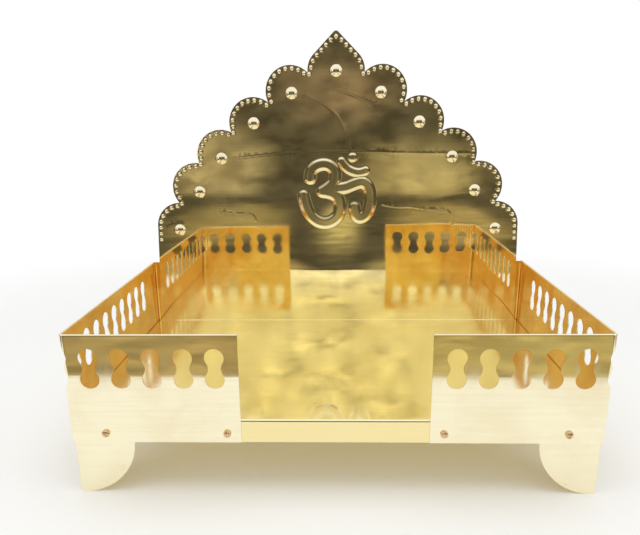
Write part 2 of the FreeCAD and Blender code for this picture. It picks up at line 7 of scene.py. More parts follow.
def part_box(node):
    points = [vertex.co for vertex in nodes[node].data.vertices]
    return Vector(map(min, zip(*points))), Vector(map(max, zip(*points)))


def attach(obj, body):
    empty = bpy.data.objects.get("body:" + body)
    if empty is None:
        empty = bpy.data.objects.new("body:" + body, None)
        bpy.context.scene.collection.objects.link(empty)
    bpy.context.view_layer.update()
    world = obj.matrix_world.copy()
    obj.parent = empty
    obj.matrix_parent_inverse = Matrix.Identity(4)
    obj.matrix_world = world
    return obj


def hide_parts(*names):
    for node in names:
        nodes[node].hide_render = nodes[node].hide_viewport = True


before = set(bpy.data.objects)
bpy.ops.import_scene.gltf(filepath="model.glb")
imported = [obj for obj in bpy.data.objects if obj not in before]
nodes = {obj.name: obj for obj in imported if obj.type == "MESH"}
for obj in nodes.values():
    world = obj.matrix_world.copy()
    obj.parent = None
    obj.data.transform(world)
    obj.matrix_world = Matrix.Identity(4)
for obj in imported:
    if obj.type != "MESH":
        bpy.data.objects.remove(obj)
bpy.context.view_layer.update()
mm = 0.001
print("frame loaded:", len(nodes), "nodes")


def linkObject(name, data):
    made = bpy.data.objects.new(name, data)
    bpy.context.scene.collection.objects.link(made)
    return made


def meshObject(name, corners, faces=()):
    mesh = bpy.data.meshes.new(name)
    mesh.from_pydata([tuple(corner) for corner in corners], [], faces)
    mesh.update()
    return linkObject(name, mesh)


def addNode(tree, kind, values=None, **settings):
    # Adds a node and gives its outputs. A value that is a socket is linked to its input, and any
    # other value is set there.
    made = tree.nodes.new(kind)
    for name, value in settings.items():
        setattr(made, name, value)
    for socket, value in (values or {}).items():
        if isinstance(value, bpy.types.NodeSocket):
            tree.links.new(value, made.inputs[socket])
        else:
            made.inputs[socket].default_value = value
    return made.outputs


def treeWith(*values):
    # The tree that the first socket among some values belongs to.
    return next(value.id_data for value in values if isinstance(value, bpy.types.NodeSocket))


def maths(operation, first, second=0.0, clamp=False):
    return addNode(treeWith(first, second), "ShaderNodeMath", {0: first, 1: second}, operation=operation,
                   use_clamp=clamp)[0]


def times(first, second):
    return maths("MULTIPLY", first, second)


def larger(first, second):
    return maths("MAXIMUM", first, second)


def vectorMaths(operation, first, second=(0, 0, 0), output="Vector"):
    return addNode(treeWith(first, second), "ShaderNodeVectorMath", {0: first, 1: second},
                   operation=operation)[output]


def axesOf(vector):
    return addNode(vector.id_data, "ShaderNodeSeparateXYZ", {0: vector})


def mapped(value, fromLow, fromHigh, toLow=0.0, toHigh=1.0, smooth=True):
    return addNode(value.id_data, "ShaderNodeMapRange", {
        "Value": value, "From Min": fromLow, "From Max": fromHigh, "To Min": toLow, "To Max": toHigh},
        interpolation_type="SMOOTHSTEP" if smooth else "LINEAR")["Result"]


def noise(place, scale=1.0, seed=None, **others):
    # With a seed the noise has a fourth axis, along which its pattern changes.
    values = {"Vector": place, "Scale": scale, "Detail": 1.0, **others}
    if seed is not None:
        values["W"] = seed
    return addNode(place.id_data, "ShaderNodeTexNoise", values,
                   noise_dimensions="3D" if seed is None else "4D")


def titled(name):
    # The name of a value as its socket is called: beadSpacing is "Bead Spacing".
    return "".join(" " + letter if letter.isupper() else letter for letter in name).title()


def newTree(name, kind, inputs, outputs):
    # A node group with named inputs and outputs, given as name: socket type.
    tree = bpy.data.node_groups.new(name, kind + "NodeTree")
    for direction, sockets in (("INPUT", inputs), ("OUTPUT", outputs)):
        for label, socketType in sockets.items():
            tree.interface.new_socket(label, in_out=direction, socket_type="NodeSocket" + socketType)
    return tree, tree.nodes.new("NodeGroupInput").outputs, tree.nodes.new("NodeGroupOutput").inputs


def link(value, socket):
    value.id_data.links.new(value, socket)


def runTree(piece, tree, values):
    # Runs a geometry tree on a piece. Inputs are set by identifier before the first evaluation.
    modifier = piece.modifiers.new(tree.name, "NODES")
    modifier.node_group = tree
    for socket in tree.interface.items_tree:
        if socket.item_type == "SOCKET" and socket.in_out == "INPUT" and socket.name in values:
            modifier[socket.identifier] = values[socket.name]


def bake(piece):
    # Turns what the modifiers make into the piece's own plain mesh.
    bpy.context.view_layer.update()
    seen = piece.evaluated_get(bpy.context.evaluated_depsgraph_get())
    made = bpy.data.meshes.new_from_object(seen)
    made.name = piece.name
    piece.modifiers.clear()
    piece.data = made


def spline(name, lines, kind="NURBS"):
    # A curve object with a line along each list of points: smooth (NURBS), or straight between them (POLY).
    data = bpy.data.curves.new(name, "CURVE")
    data.dimensions = "3D"
    data.resolution_u = 12
    for points in lines:
        line = data.splines.new(kind)
        line.points.add(len(points) - 1)
        for point, place in zip(line.points, points):
            point.co = (*place, 1)
        if kind == "NURBS":
            line.order_u = 3
            line.use_endpoint_u = True
    return linkObject(name, data)


def curvePoints(curve):
    made = bpy.data.meshes.new_from_object(curve)
    points = [vertex.co.copy() for vertex in made.vertices]
    bpy.data.meshes.remove(made)
    return points


# Back panel: the same scalloped outline as the solid, with its domes, a row of punched beads
# and the raised sign, all pressed out of one thin sheet
panel = {
    # corners up the right side: share of the half width, share of the rise, bulge of the next edge
    "edgeShares": [(0.975, 0.3545, 0.208), (0.8475, 0.439, 0.352), (0.727, 0.576, 0.341),
                   (0.548, 0.679, 0.386), (0.3505, 0.776, 0.419), (0.145, 0.8705, 0.114),
                   (0.1145, 0.9285, 0)],
    "peakTip": 3.0 * mm,
    "tipSteps": 4,
    "gauge": 0.8 * mm,
    "domeShares": [(0.229, 0.806), (0.430, 0.709), (0.607, 0.592), (0.734, 0.477), (0.855, 0.342)],
    "peakDomeShare": 0.876,
    "domeRings": (0.15, 0.3, 0.45, 0.6, 0.72, 0.84, 0.94, 1.04, 1.2),   # of its radius
    "domeRingStep": 1.0 * mm,
    "beadInset": 3.0 * mm,
    "beadClearance": 0.93,         # share of the inset that a bead keeps from the whole edge
    "beadTurnSteps": 6,            # places tried round each notch
    "beadRings": (0.35, 0.7, 1.0, 1.35),
    "beadRingStep": 0.75 * mm,
    "beadsAboveFence": 20.0 * mm,
    "waveFade": 30.0 * mm,         # height above the seat at which the waves are full
    "coarseStep": 4.5 * mm,
    "fineStep": 1.0 * mm,
    "signStep": 0.65 * mm,
    "beadMargin": 3,               # of fine sheet beside the beads and the drawn lines, in fine steps
    "drawnMargins": (("sign", 2, "signStep"), ("small", 1, "signStep"), ("crease", 1, "fineStep")),
    "outlineStep": 1.6 * mm,
    "rowShare": 0.866,             # height of a row of even triangles, of their side
    "pointClearance": 0.6,         # of a grid point from all others, of the step
    "sharpAngle": 40,
    "pressed": {                   # what the geometry tree is given
        "domeRadius": 5.4 * mm,
        "domeHeight": 2.8 * mm,
        "domeFullness": 0.85,          # the lower, the flatter the top and the steeper the foot
        "beadSpacing": 6.2 * mm,
        "beadRadius": 1.7 * mm,
        "beadHeight": 1.0 * mm,
        "beadFullness": 1.0,
        "signHalfWidth": 6.2 * mm,     # of one raised stroke, at the foot of its slopes
        "signSlope": 3.3 * mm,         # width of the slope on each side of the stroke's flat top
        "signHeight": 1.1 * mm,
        "smallHalfWidth": 4.8 * mm,    # of the crescent and the dot
        "smallSlope": 2.8 * mm,
        "smallHeight": 1.0 * mm,
        "creaseHalfWidth": 1.3 * mm,
        "creaseHeight": 0.045 * mm,
        "creaseFullness": 1.5,
        "lineSpacing": 0.35 * mm,      # between the points that stand for a drawn line
        "waveSize": 90.0 * mm,
        "waveHeight": 0.5 * mm,
        "waveRoughness": 0.4,
        "waveSeed": 3.0,
    },
}
# Lines of the sign and creases of the sheet, in mm from the middle of the panel and above the seat
signStrokes = [
    [(-26, 147), (-26, 154), (-19, 160), (-9, 161), (-1, 155), (-1, 145), (-7, 138), (-14, 134)],
    [(-14, 134), (-3, 133), (4, 124), (3, 110), (-8, 102), (-20, 104), (-30, 115), (-33, 130)],
    [(-3, 137), (8, 137), (17, 141), (27, 144), (34, 136), (34, 120), (29, 109), (20, 107), (18, 118)],
]
smallStrokes = [
    [(5, 163), (9, 157), (17, 153), (24, 152), (29, 154)],
    [(15.5, 167), (16, 167), (16.5, 167)],
]
sheetCreases = [
    [(-106, 166), (-70, 170), (-36, 173), (13, 173), (82, 170), (136, 170)],
    [(-30, 226), (-6, 215), (8, 197), (14, 172)],
    [(-1, 230), (15, 226), (37, 216)],
    [(46, 119), (59, 116), (74, 117), (94, 113), (113, 115), (115, 107), (117, 99)],
    [(-116, 113), (-98, 110), (-84, 113), (-82, 105)],
    [(-173, 100), (-163, 103), (-156, 102)],
]


def panelFrame():
    low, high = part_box("back_panel")
    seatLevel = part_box("seat_tray")[1].z
    return high.x, seatLevel, high.z, low.z, high.y - panel["gauge"]


def heading(angle):
    return Vector((math.cos(angle), math.sin(angle)))


def mirrored(points):
    return [Vector((-point.x, point.y)) for point in reversed(points)]


def edgePoints(start, end, bulge, step):
    # Points from start to end with their outward normals, along an arc that stands out to the right by
    # the bulge's share of its chord, or straight.
    chord = end - start
    normal = Vector((chord.y, -chord.x))
    if not bulge:
        count = max(1, round(chord.length / step))
        return [(start + chord * index / count, normal.normalized()) for index in range(count + 1)]
    centre = (start + end) / 2 - normal * (1 / (8 * bulge) - bulge / 2)
    radius = (start - centre).length
    sweep = 4 * math.atan(2 * bulge)
    count = max(2, round(radius * sweep / step))
    first = math.atan2(start.y - centre.y, start.x - centre.x)
    normals = [heading(first + sweep * index / count) for index in range(count + 1)]
    return [(centre + radius * normal, normal) for normal in normals]


def panelEdges():
    # Right half of the outline from the bottom corner to the tip, edge by edge: points and outward normals.
    halfWidth, seat, top, bottom, _ = panelFrame()
    tip = panel["peakTip"]
    rise = top - seat
    corners = [Vector((halfWidth, bottom))]
    corners += [Vector((halfWidth * across, seat + rise * up)) for across, up, _ in panel["edgeShares"]]
    corners.append(Vector((tip / math.sqrt(2), top - tip + tip / math.sqrt(2))))
    bulges = [0] + [bulge for _, _, bulge in panel["edgeShares"]]
    edges = []
    for start, end, bulge in zip(corners, corners[1:], bulges):
        step = panel["outlineStep"] if edges else panel["coarseStep"]
        edges.append(edgePoints(start, end, bulge, step))
    steps = panel["tipSteps"]
    halfTip = [Vector((math.sin(angle), math.cos(angle))) for angle in
               (math.pi / 4 * (1 - index / steps) for index in range(steps + 1))]
    edges.append([(Vector((0, top - tip)) + tip * normal, normal) for normal in halfTip])
    return edges


def outlineLoop(edges):
    right = [edges[0][0][0]] + [point for edge in edges for point, _ in edge[1:]]
    return right + mirrored(right[:-1])


def treeOf(points):
    # A search tree over flat points.
    tree = kdtree.KDTree(len(points))
    for index, point in enumerate(points):
        tree.insert((point.x, point.y, 0), index)
    tree.balance()
    return tree


def beadLine(edges, loop):
    # The outline moved inwards, turning about each notch, and kept where it clears the whole edge.
    inset, steps = panel["beadInset"], panel["beadTurnSteps"]
    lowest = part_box("left_fence")[1].z + panel["beadsAboveFence"]
    right = []
    for before, after in zip(edges, edges[1:]):
        notch, lastNormal = before[-1]
        nextNormal = after[0][1]
        right += [point - normal * inset for point, normal in before]
        right += [notch - lastNormal.lerp(nextNormal, index / steps).normalized() * inset
                  for index in range(1, steps)]
    right += [point - normal * inset for point, normal in edges[-1]]
    tree = treeOf(loop)
    clear = inset * panel["beadClearance"]
    right = [point for point in right
             if point.y > lowest and point.x >= 0 and tree.find((point.x, point.y, 0))[2] > clear]
    return right + mirrored(right)


def evenly(line, spacing):
    # Points at even steps along a line, both ends included.
    lengths = [0]
    for start, end in zip(line, line[1:]):
        lengths.append(lengths[-1] + (end - start).length)
    count = round(lengths[-1] / spacing)
    places = []
    index = 0
    for number in range(count + 1):
        reach = lengths[-1] * number / count
        while index < len(line) - 2 and lengths[index + 1] < reach:
            index += 1
        share = (reach - lengths[index]) / max(lengths[index + 1] - lengths[index], 1e-9)
        places.append(line[index].lerp(line[index + 1], share))
    return places


def rings(centre, radii, spacing):
    points = [centre]
    for number, radius in enumerate(radii):
        count = max(6, round(2 * math.pi * radius / spacing))
        points += [centre + radius * heading(2 * math.pi * (index + number / 2) / count)
                   for index in range(count)]
    return points


def flatPanel(loop, beads, domes, fineZones, frontY):
    # A flat triangulated sheet: fine round the beads, the domes and the drawn lines, coarse elsewhere.
    coarse = panel["coarseStep"]
    points = list(loop)
    for places, kind in ((beads, "bead"), (domes, "dome")):
        radii = [panel["pressed"][kind + "Radius"] * share for share in panel[kind + "Rings"]]
        for place in places:
            points += rings(place, radii, panel[kind + "RingStep"])
    zones = [(treeOf(line), reach, step) for line, reach, step in fineZones]
    taken = treeOf(points)
    lowX, highX = min(p.x for p in loop), max(p.x for p in loop)
    lowZ, highZ = min(p.y for p in loop), max(p.y for p in loop)
    for step in sorted({coarse, *(step for *_, step in zones)}):
        for row in range(1, int((highZ - lowZ) / (step * panel["rowShare"]))):
            z = lowZ + row * step * panel["rowShare"]
            for column in range(int((highX - lowX) / step) + 1):
                x = lowX + (column + row % 2 / 2) * step
                wanted = min((size for zone, reach, size in zones if zone.find((x, z, 0))[2] < reach),
                             default=coarse)
                if wanted == step and taken.find((x, z, 0))[2] > step * panel["pointClearance"]:
                    points.append(Vector((x, z)))
    edges = [(index, (index + 1) % len(loop)) for index in range(len(loop))]
    made, _, faces, *_ = delaunay_2d_cdt(points, edges, [list(range(len(loop)))], 1, 1e-7)
    return meshObject("backPanel", [(point.x, frontY, point.y) for point in made], faces)


def capTree():
    # Height of a rounded rise at a distance from its middle.
    tree, given, out = newTree("pressedRise", "Geometry", {
        "Distance": "Float", "Radius": "Float", "Height": "Float", "Fullness": "Float"}, {"Rise": "Float"})
    ratio = maths("DIVIDE", given["Distance"], given["Radius"])
    left = maths("SUBTRACT", 1.0, times(ratio, ratio), clamp=True)
    shaped = maths("POWER", left, given["Fullness"])
    link(times(shaped, given["Height"]), out["Rise"])
    return tree


def finishTree(tree, geometry, metal, out):
    # Ends a geometry tree: the export drops instances, so they are made real and get their material.
    real = addNode(tree, "GeometryNodeRealizeInstances", {"Geometry": geometry})
    painted = addNode(tree, "GeometryNodeSetMaterial", {"Geometry": real[0], "Material": metal})
    link(painted[0], out["Geometry"])


def pressedSheetTree(values):
    # Has an input for each of the values, of their type.
    kinds = {float: "Float", bpy.types.Object: "Object", bpy.types.Material: "Material"}
    tree, given, out = newTree("pressedSheet", "Geometry", {
        "Geometry": "Geometry", **{name: kinds[type(value)] for name, value in values.items()}},
        {"Geometry": "Geometry"})
    rise = capTree()

    def shapeOf(places):
        return addNode(tree, "GeometryNodeObjectInfo", {"Object": given[places]})["Geometry"]

    def pointsAlong(lines, spacing="Line Spacing"):
        return addNode(tree, "GeometryNodeCurveToPoints", {
            "Curve": shapeOf(lines), "Length": given[spacing]}, mode="LENGTH")["Points"]

    def distanceTo(points):
        return addNode(tree, "GeometryNodeProximity", {0: points}, target_element="POINTS")["Distance"]

    def rounded(points, kind, reach="Radius"):
        return addNode(tree, "GeometryNodeGroup", {
            "Distance": distanceTo(points), "Radius": given[f"{kind} {reach}"],
            "Height": given[kind + " Height"], "Fullness": given[kind + " Fullness"]}, node_tree=rise)["Rise"]

    def flatTopped(kind):
        # The slope is straight in its middle and rounded a little at its foot and its top.
        distance, foot = distanceTo(pointsAlong(kind + " Line")), given[kind + " Half Width"]
        top = maths("SUBTRACT", foot, given[kind + " Slope"])
        slopes = [mapped(distance, foot, top, smooth=smooth) for smooth in (False, True)]
        half = times(given[kind + " Height"], 0.5)
        return times(maths("ADD", *slopes), half)

    beadRise = rounded(pointsAlong("Bead Line", "Bead Spacing"), "Bead")
    domeRise = rounded(shapeOf("Dome Places"), "Dome")
    creaseRise = rounded(pointsAlong("Crease Line"), "Crease", "Half Width")
    drawnRise = larger(flatTopped("Sign"), flatTopped("Small"))
    relief = larger(larger(beadRise, domeRise), drawnRise)
    place = addNode(tree, "GeometryNodeInputPosition")[0]
    wave = noise(place, maths("DIVIDE", 1.0, given["Wave Size"]), given["Wave Seed"],
                 Roughness=given["Wave Roughness"])[0]
    waved = times(times(wave, given["Wave Height"]),
                  mapped(axesOf(place)["Z"], given["Wave From"], given["Wave Full"]))
    raised = maths("ADD", relief, maths("ADD", waved, creaseRise))
    offset = addNode(tree, "ShaderNodeCombineXYZ", {"Y": times(raised, -1.0)})
    marked = addNode(tree, "GeometryNodeStoreNamedAttribute", {
        "Geometry": given["Geometry"], "Name": "signRise", "Value": drawnRise}, data_type="FLOAT",
        domain="POINT")
    moved = addNode(tree, "GeometryNodeSetPosition", {"Geometry": marked[0], "Offset": offset[0]})
    smooth = addNode(tree, "GeometryNodeSetShadeSmooth", {"Geometry": moved[0]})
    finishTree(tree, smooth[0], given["Brass"], out)
    return tree


def makeBackPanel(brass):
    halfWidth, seat, top, _, frontY = panelFrame()
    rise = top - seat
    edges = panelEdges()
    loop = outlineLoop(edges)
    beads = beadLine(edges, loop)
    pressed = panel["pressed"]
    beadPlaces = evenly(beads, pressed["beadSpacing"])
    domes = [Vector((0, seat + rise * panel["peakDomeShare"]))]
    for across, up in panel["domeShares"]:
        domes += [Vector((side * halfWidth * across, seat + rise * up)) for side in (1, -1)]
    drawn = {name: spline(name, [[(x * mm, frontY, seat + z * mm) for x, z in line] for line in lines])
             for name, lines in (("signLine", signStrokes), ("smallLine", smallStrokes),
                                 ("creaseLine", sheetCreases))}
    fine = panel["fineStep"]
    fineZones = [(beads, panel["beadInset"] + panel["beadMargin"] * fine, fine)]
    for kind, margin, step in panel["drawnMargins"]:
        line = [Vector((point.x, point.z)) for point in curvePoints(drawn[kind + "Line"])]
        fineZones.append((line, pressed[kind + "HalfWidth"] + margin * fine, panel[step]))
    beadCorners, domeCorners = ([(place.x, frontY, place.y) for place in places]
                                for places in (beadPlaces, domes))
    helpers = {**drawn, "beadLine": spline("beadLine", [beadCorners], "POLY"),
               "domePlaces": meshObject("domePlaces", domeCorners)}
    piece = flatPanel(loop, beadPlaces, domes, fineZones, frontY)
    values = {**pressed, **helpers, "waveFrom": seat, "waveFull": seat + panel["waveFade"], "brass": brass}
    values = {titled(name): value for name, value in values.items()}
    runTree(piece, pressedSheetTree(values), values)
    sheet = piece.modifiers.new("sheetGauge", "SOLIDIFY")
    sheet.thickness = panel["gauge"]
    sheet.offset = -1
    bake(piece)
    piece.data.set_sharp_from_angle(angle=math.radians(panel["sharpAngle"]))
    for helper in helpers.values():
        bpy.data.objects.remove(helper)
    print("back panel:", len(piece.data.vertices), "points,", len(beadPlaces), "beads")
    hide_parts("back_panel")
    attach(piece, "root")


# Screws and nuts: one master each, set on points that carry the way the screw head faces
fasteners = {
    "endX": 77.0 * mm,             # the pair beside the open front
    "stackAtFeet": 2.8 * mm,       # sheets between head and nut
    "stackAtEnds": 1.6 * mm,
    "stackAtRearFeet": 3.6 * mm,
    "headRadius": 2.8 * mm,
    "headHeight": 2.55 * mm,
    "slotWidth": 0.75 * mm,
    "slotDepth": 1.1 * mm,
    "headProfile": ((0.35, 0.985), (0.6, 0.93), (0.8, 0.81), (0.93, 0.62), (0.99, 0.4), (1.0, 0.15),
                    (0.97, 0)),    # shares of the head's radius and height, from its top down
    "slotLength": 3.0,             # of the cutter, in head radii
    "shankRadius": 1.5 * mm,
    "shankLength": 8.0 * mm,
    "threadPitch": 0.5 * mm,
    "threadDepth": 0.16 * mm,
    "threadShares": (0.7, 1.2),    # of a pitch: where each turn's groove and crest are
    "shankTip": 0.8,               # share of its radius at the turned end
    "screwSides": 32,
    "nutFlats": 5.5 * mm,
    "nutHeight": 2.4 * mm,
    "nutBore": 1.53 * mm,
    "nutTurned": 0.97,             # share of half the flats at which the turned corners begin
    "nutTurnAngle": 30,
    "nutSides": 48,
    "sharpAngle": 32,
    "turnSeed": 7,
}


def lathe(name, profile, steps, radiusAt=None):
    # Turns a profile of (radius, height) round the Z axis. A radius of 0 makes a pole.
    corners, rows, faces = [], [], []
    for radius, height in profile:
        row = []
        for step in range(steps if radius else 1):
            angle = 2 * math.pi * step / steps
            reach, level = radiusAt(radius, height, angle) if radiusAt else (radius, height)
            row.append(len(corners))
            corners.append((reach * math.cos(angle), reach * math.sin(angle), level))
        rows.append(row)
    for upper, lower in zip(rows, rows[1:]):
        for step in range(steps):
            after = (step + 1) % steps
            face = [upper[step % len(upper)], lower[step % len(lower)],
                    lower[after % len(lower)], upper[after % len(upper)]]
            faces.append(list(dict.fromkeys(face)))
    made = meshObject(name, corners, faces)
    for face in made.data.polygons:
        face.use_smooth = True
    return made


def makeScrewMaster():
    head, height, shank = (fasteners[key] for key in ("headRadius", "headHeight", "shankRadius"))
    length, pitch, depth = (fasteners[key] for key in ("shankLength", "threadPitch", "threadDepth"))
    profile = [(0, height), *((head * across, height * up) for across, up in fasteners["headProfile"]),
               (shank, 0)]
    groove, crest = fasteners["threadShares"]
    for turn in range(int((length - pitch) / pitch)):
        profile += [(shank - depth, -pitch * (turn + groove)), (shank, -pitch * (turn + crest))]
    profile += [(shank * fasteners["shankTip"], -length), (0, -length)]
    master = lathe("screwMaster", profile, fasteners["screwSides"])
    half, wide = fasteners["slotWidth"] / 2, head * fasteners["slotLength"] / 2
    low, high = height - fasteners["slotDepth"], height * 2
    cutter = meshObject("slotCutter", [
        (x, y, z) for z in (low, high) for y in (-half, half) for x in (-wide, wide)], [
        (0, 2, 3, 1), (4, 5, 7, 6), (0, 1, 5, 4), (2, 6, 7, 3), (0, 4, 6, 2), (1, 3, 7, 5)])
    cut = master.modifiers.new("slot", "BOOLEAN")
    cut.operation = "DIFFERENCE"
    cut.object = cutter
    bake(master)
    bpy.data.objects.remove(cutter)
    return master


def makeNutMaster():
    # A hexagon whose corners are turned off at both faces, open through its bore.
    inner, height, bore = fasteners["nutFlats"] / 2, fasteners["nutHeight"], fasteners["nutBore"]
    turned = inner * fasteners["nutTurned"]
    slope = math.tan(math.radians(fasteners["nutTurnAngle"]))

    def hexed(radius, level, angle):
        if radius != inner:
            return radius, level
        reach = inner / math.cos((angle + math.pi / 6) % (math.pi / 3) - math.pi / 6)
        drop = (reach - turned) * slope
        return reach, level + (drop if level else -drop)

    return lathe("nutMaster", [
        (bore, 0), (turned, 0), (inner, 0), (inner, -height), (turned, -height), (bore, -height), (bore, 0)],
        fasteners["nutSides"], hexed)


def fastenerTree():
    tree, given, out = newTree("fastenerRow", "Geometry", {
        "Geometry": "Geometry", "Master": "Object", "Facing Name": "String", "Turn Seed": "Int",
        "Metal": "Material"}, {"Geometry": "Geometry"})
    facing = addNode(tree, "GeometryNodeInputNamedAttribute", {"Name": given["Facing Name"]},
                     data_type="FLOAT_VECTOR")["Attribute"]
    upright = addNode(tree, "FunctionNodeAlignRotationToVector", {"Vector": facing}, axis="Z")["Rotation"]
    angle = addNode(tree, "FunctionNodeRandomValue", {3: math.pi, "Seed": given["Turn Seed"]},
                    data_type="FLOAT")[1]
    spin = addNode(tree, "FunctionNodeAxisAngleToRotation", {"Axis": (0, 0, 1), "Angle": angle})
    turned = addNode(tree, "FunctionNodeRotateRotation", {
        "Rotation": upright, "Rotate By": spin["Rotation"]}, rotation_space="LOCAL")["Rotation"]
    master = addNode(tree, "GeometryNodeObjectInfo", {"Object": given["Master"]})["Geometry"]
    placed = addNode(tree, "GeometryNodeInstanceOnPoints", {
        "Points": given["Geometry"], "Instance": master, "Rotation": turned})
    finishTree(tree, placed["Instances"], given["Metal"], out)
    return tree


def fastenerSeats():
    # Where each head sits, the way it faces, and how thick the sheets behind it are.
    head, endX = fasteners["headRadius"], fasteners["endX"]
    feet, ends, rearFeet = (fasteners["stackAt" + place] for place in ("Feet", "Ends", "RearFeet"))
    low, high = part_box("front_screws")
    level, cornerX = (low.z + high.z) / 2, high.x - head
    frontY, rearY = (corner.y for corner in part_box("left_fence"))
    panelRearY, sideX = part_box("back_panel")[1].y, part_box("right_fence")[1].x
    sideLow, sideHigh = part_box("right_side_screws")
    seats = []
    for side in (-1, 1):
        seats += [
            ((side * cornerX, frontY, level), (0, -1, 0), feet),
            ((side * endX, frontY, level), (0, -1, 0), ends),
            ((side * cornerX, rearY, level), (0, 1, 0), rearFeet),
            ((side * endX, panelRearY, level), (0, 1, 0), ends),
            ((side * sideX, sideLow.y + head, level), (side, 0, 0), feet),
            ((side * sideX, sideHigh.y - head, level), (side, 0, 0), feet)]
    return [(Vector(place), Vector(facing), stack) for place, facing, stack in seats]


def makeFasteners(kind, master, seats, metal):
    piece = meshObject(kind, [place for place, _ in seats])
    facing = piece.data.attributes.new("facing", "FLOAT_VECTOR", "POINT")
    for item, (_, direction) in zip(facing.data, seats):
        item.vector = direction
    runTree(piece, fastenerTree(), {
        "Master": master, "Facing Name": "facing", "Turn Seed": fasteners["turnSeed"], "Metal": metal})
    bake(piece)
    piece.data.set_sharp_from_angle(angle=math.radians(fasteners["sharpAngle"]))
    bpy.data.objects.remove(master)
    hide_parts(*[f"{group}_{kind}" for group in ("front", "rear", "left_side", "right_side")])
    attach(piece, "root")
    print(kind + ":", len(piece.data.vertices), "points")
    return piece


# Studio: a pale floor, soft lamps, and dim cards in front, beside and behind for the mirror finish
studio = {
    "floorColour": (0.95, 0.95, 0.94, 1),
    "floorSize": 8.0,
    "floorRoughness": 0.9,
    "floorShine": 0.1,
    "floorFade": (0.42, 0.95),     # from the middle, where the lit floor turns into plain white
    "worldFill": 0.78,             # light from the world on everything but the camera and mirrors
    "lamps": {                     # place, size, watts
        "top": ((0.0, -0.1, 1.3), 1.2, 4.5),
        "left": ((-1.4, -0.5, 0.9), 0.72, 1.6),
        "right": ((1.4, -0.5, 0.9), 0.72, 1.6),
    },
    "lampAim": (0.0, 0.0, 0.12),
    "cardEdge": -0.36,             # where the card on the floor begins
    "cardWall": -1.7,              # where it turns up
    "cardHalfWidth": 2.2,
    "cardHeight": 1.5,
    "cardLift": 0.6 * mm,
    "wobbleScale": (8.0, 4.0, 0.0),
    "wobbleAmount": (0.018, 0.09, 0.0),
    "wobbleDetail": 3.0,
    "mottleScale": (9.0, 22.0, 0.0),
    "mottleDetail": 4.0,
    "mottleRange": (0.3, 0.7, 0.64, 1.36),   # of the noise, and of the brightness that it gives
    "cardTone": (0.100, 0.083, 0.047),
    "deepTone": (1.0, 0.93, 0.72),   # of the card after several reflections, as in a bright room
    "deepDepths": (1.0, 2.0),        # numbers of reflections over which the deep tones take over
    "surroundNear": (0.55, 0.50),  # where the cards at the sides and behind begin
    "surroundFar": 1.7,
    "surroundHeight": 0.55,
    "surroundTones": ((0.13, 0.105, 0.055), (0.62, 0.50, 0.27)),
    "surroundNoise": {"scale": 1.8, "Detail": 3.0},
    "surroundRange": (0.35, 0.68),
}
# Soft spots on the card, as seen in one reflection and in several (deep): across, along the card
# from under the throne, half sizes, softness, tone
cardSpots = [
    (-0.25, 0.42, 0.22, 0.15, 0.3, 0.40, 0.30, 0.13),
    (0.25, 0.42, 0.22, 0.15, 0.3, 0.50, 0.40, 0.16),
    (-0.30, 1.05, 0.20, 0.50, 0.6, 0.35, 0.27, 0.11),
    (0.30, 1.00, 0.20, 0.50, 0.6, 0.40, 0.30, 0.12),
    (0.00, 1.00, 0.08, 0.60, 0.8, 0.55, 0.45, 0.18),
    (-0.45, 1.80, 0.25, 0.20, 0.6, 0.40, 0.32, 0.16),
    (0.30, 1.75, 0.30, 0.20, 0.8, 0.50, 0.40, 0.18),
    (0.00, 2.05, 0.30, 0.15, 0.9, 0.25, 0.18, 0.10),
    (0.00, 2.95, 2.60, 0.55, 0.5, 0.50, 0.45, 0.32),
]
deepSpots = [
    (0.00, 0.60, 0.90, 0.36, 0.3, 0.20, 0.17, 0.07),
    (0.00, 2.45, 1.10, 0.40, 0.4, 0.85, 0.75, 0.42),
]


def useGroup(tree, group, values):
    return addNode(tree, "ShaderNodeGroup", values, node_tree=group)


def mixColour(tree, share, first, second, blend="MIX"):
    values = {0: share}
    for index, colour in ((6, first), (7, second)):
        values[index] = colour if isinstance(colour, bpy.types.NodeSocket) else (*colour[:3], 1)
    return addNode(tree, "ShaderNodeMix", values, data_type="RGBA", blend_type=blend)[2]


def softSpotTree():
    tree, given, out = newTree("softSpot", "Shader", {
        "Place": "Vector", "Centre": "Vector", "Half Size": "Vector", "Softness": "Float"}, {"Mask": "Float"})
    apart = vectorMaths("SUBTRACT", given["Place"], given["Centre"])
    radius = vectorMaths("LENGTH", vectorMaths("DIVIDE", apart, given["Half Size"]), output="Value")
    inside = maths("SUBTRACT", 1.0, given["Softness"])
    link(mapped(radius, 1.0, inside), out["Mask"])
    return tree


def wobbleTree():
    # Moves a place by an uneven amount, so that the edges drawn from it wander.
    tree, given, out = newTree("wobble", "Shader", {
        "Place": "Vector", "Scale": "Vector", "Amount": "Vector", "Detail": "Float"}, {"Place": "Vector"})
    drift = noise(vectorMaths("MULTIPLY", given["Place"], given["Scale"]), Detail=given["Detail"])["Color"]
    moved = vectorMaths("MULTIPLY", vectorMaths("SUBTRACT", drift, (0.5, 0.5, 0.5)), given["Amount"])
    link(vectorMaths("ADD", given["Place"], moved), out["Place"])
    return tree


def cameraOrMirror(tree):
    # 1 where the camera looks, also by a reflection or through glass.
    path = addNode(tree, "ShaderNodeLightPath")
    seen = larger(path["Is Camera Ray"], path["Is Glossy Ray"])
    return larger(seen, path["Is Transmission Ray"])


def newPaint(name):
    paint = bpy.data.materials.new(name)
    paint.use_nodes = True
    return paint, paint.node_tree


def glowingCard(name, corners, faces):
    # A card, and its material's tree with nothing in it yet.
    card = meshObject(name, corners, faces)
    paint, tree = newPaint(name + "Paint")
    tree.nodes.clear()
    card.data.materials.append(paint)
    return card, tree


